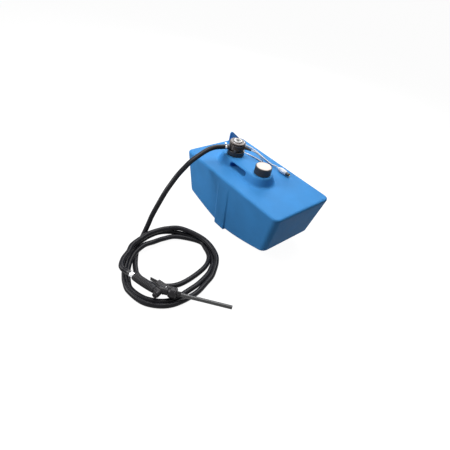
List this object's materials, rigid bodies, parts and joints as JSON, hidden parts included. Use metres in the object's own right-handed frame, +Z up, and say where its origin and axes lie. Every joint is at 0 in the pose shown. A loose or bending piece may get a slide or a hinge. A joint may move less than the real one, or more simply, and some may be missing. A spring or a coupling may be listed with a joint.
{
  "type": "portable transfer tank",
  "caption": "Low blue moulded tank with a drum pump and filler cap on a raised dome, a coiled delivery hose and a trigger nozzle.",
  "frame": {"origin": "on the ground, centred below the tank", "axes": "+Z up, +X along the tank's length towards the filler cap's end, -Y towards the side where the hose lies"},
  "size_m": [0.8199, 1.0387, 0.4446],
  "materials": {
    "blue_polyethylene": "moulded, satin",
    "black_plastic": "moulded, satin",
    "charcoal_casting": "painted casting",
    "beige_plastic": "moulded, satin",
    "light_grey_plastic": "moulded, satin",
    "stainless_steel": "brushed",
    "bright_chrome": "polished",
    "copper_winding": "enamelled copper wire",
    "brass": "turned",
    "black_rubber": "matt"
  },
  "bodies": {
    "tank": {"tank_shell": "blue_polyethylene", "nozzle_hook": "blue_polyethylene", "hook_screw_1": "black_plastic", "hook_screw_2": "black_plastic", "hook_screw_3": "black_plastic", "flange_gasket": "black_rubber", "pump_flange": "charcoal_casting", "pump_ring_nut": "black_plastic", "suction_tube": "light_grey_plastic", "foot_strainer": "black_plastic", "pump_housing": "charcoal_casting", "pump_cover": "charcoal_casting", "cover_screw_1": "stainless_steel", "cover_screw_2": "stainless_steel", "cover_screw_3": "stainless_steel", "switch_ring": "light_grey_plastic", "switch_body": "black_plastic", "motor_stator": "stainless_steel", "motor_end_plate": "charcoal_casting", "bearing_upper": "stainless_steel", "bearing_lower": "stainless_steel", "shaft_seal": "black_rubber", "relief_plug": "black_plastic", "relief_spring": "stainless_steel", "outlet_port": "black_plastic", "hose_clamp": "stainless_steel", "clamp_screw": "stainless_steel", "cable_gland": "black_rubber", "power_lead": "light_grey_plastic", "plug_body": "light_grey_plastic", "plug_nose": "black_plastic", "plug_spring": "stainless_steel", "hose_lead": "black_rubber", "hose_coil": "black_rubber", "hose_end": "black_rubber", "swivel_body": "bright_chrome", "grip": "black_plastic", "gun_body": "black_plastic", "gun_head": "black_plastic", "spout_nut": "black_plastic", "spout": "black_plastic", "valve_cap": "black_plastic", "valve_spring": "stainless_steel", "trigger_pin": "stainless_steel"},
    "pump_rotor": {"motor_shaft": "stainless_steel", "motor_armature": "copper_winding", "vane_rotor": "stainless_steel", "vane_1": "black_plastic", "vane_2": "black_plastic", "vane_3": "black_plastic"},
    "cap_liner": {"cap_seal": "black_rubber"},
    "filler_cap": {"filler_cap": "black_plastic", "cap_top_disc": "beige_plastic"},
    "power_knob": {"power_knob": "black_plastic"},
    "relief_poppet": {"relief_poppet": "brass"},
    "foot_valve": {"foot_valve_disc": "black_rubber"},
    "trigger": {"trigger": "black_plastic"},
    "valve_stem": {"valve_stem": "brass"},
    "swivel_tail": {"swivel_tail": "black_plastic"},
    "plug_contact": {"plug_contact": "brass"}
  },
  "joints": [
    {"name": "cap_lift", "type": "slide", "parent": "tank", "child": "cap_liner", "axis": [0, 0, 1], "range_m": [0, 0.012]},
    {"name": "cap_turn", "type": "hinge", "parent": "cap_liner", "child": "filler_cap", "pos_m": [0.06, -0.03, 0.38], "axis": [0, 0, 1], "range_deg": [0, 540]},
    {"name": "pump_spin", "type": "hinge", "parent": "tank", "child": "pump_rotor", "pos_m": [-0.15, -0.03, 0.3931], "axis": [0, 0, 1], "continuous": true},
    {"name": "knob_turn", "type": "hinge", "parent": "tank", "child": "power_knob", "pos_m": [-0.15, -0.03, 0.4375], "axis": [0, 0, 1], "range_deg": [0, 90]},
    {"name": "relief_open", "type": "slide", "parent": "tank", "child": "relief_poppet", "axis": [0.6, -0.8, 0], "range_m": [0, 0.003], "stiffness_N_per_m": 400, "springref_m": -0.002, "deforming": ["relief_spring"]},
    {"name": "foot_valve_lift", "type": "slide", "parent": "tank", "child": "foot_valve", "axis": [0, 0, 1], "range_m": [0, 0.005]},
    {"name": "trigger_pull", "type": "hinge", "parent": "tank", "child": "trigger", "pos_m": [0.23204, -0.69707, 0.0525], "axis": [0, 0, 1], "range_deg": [0, 6.5], "stiffness_Nm_per_rad": 0.4, "springref_deg": -20.05},
    {"name": "stem_travel", "type": "slide", "parent": "tank", "child": "valve_stem", "axis": [0.3074, -0.9516, 0], "range_m": [0, 0.0013], "deforming": ["valve_spring"]},
    {"name": "swivel_turn", "type": "hinge", "parent": "tank", "child": "swivel_tail", "pos_m": [0.07421, -0.7843, 0.0525], "axis": [0.9516, 0.3074, 0], "continuous": true},
    {"name": "plug_contact_press", "type": "slide", "parent": "tank", "child": "plug_contact", "axis": [-1, 0, 0], "range_m": [0, 0.004], "stiffness_N_per_m": 150, "springref_m": -0.002, "deforming": ["plug_spring"]}
  ],
  "couplings": [
    {"joint": "cap_lift", "follows": "cap_turn", "m_per_rad": 0.0012732},
    {"joint": "stem_travel", "follows": "trigger_pull", "m_per_rad": 0.011459}
  ]
}
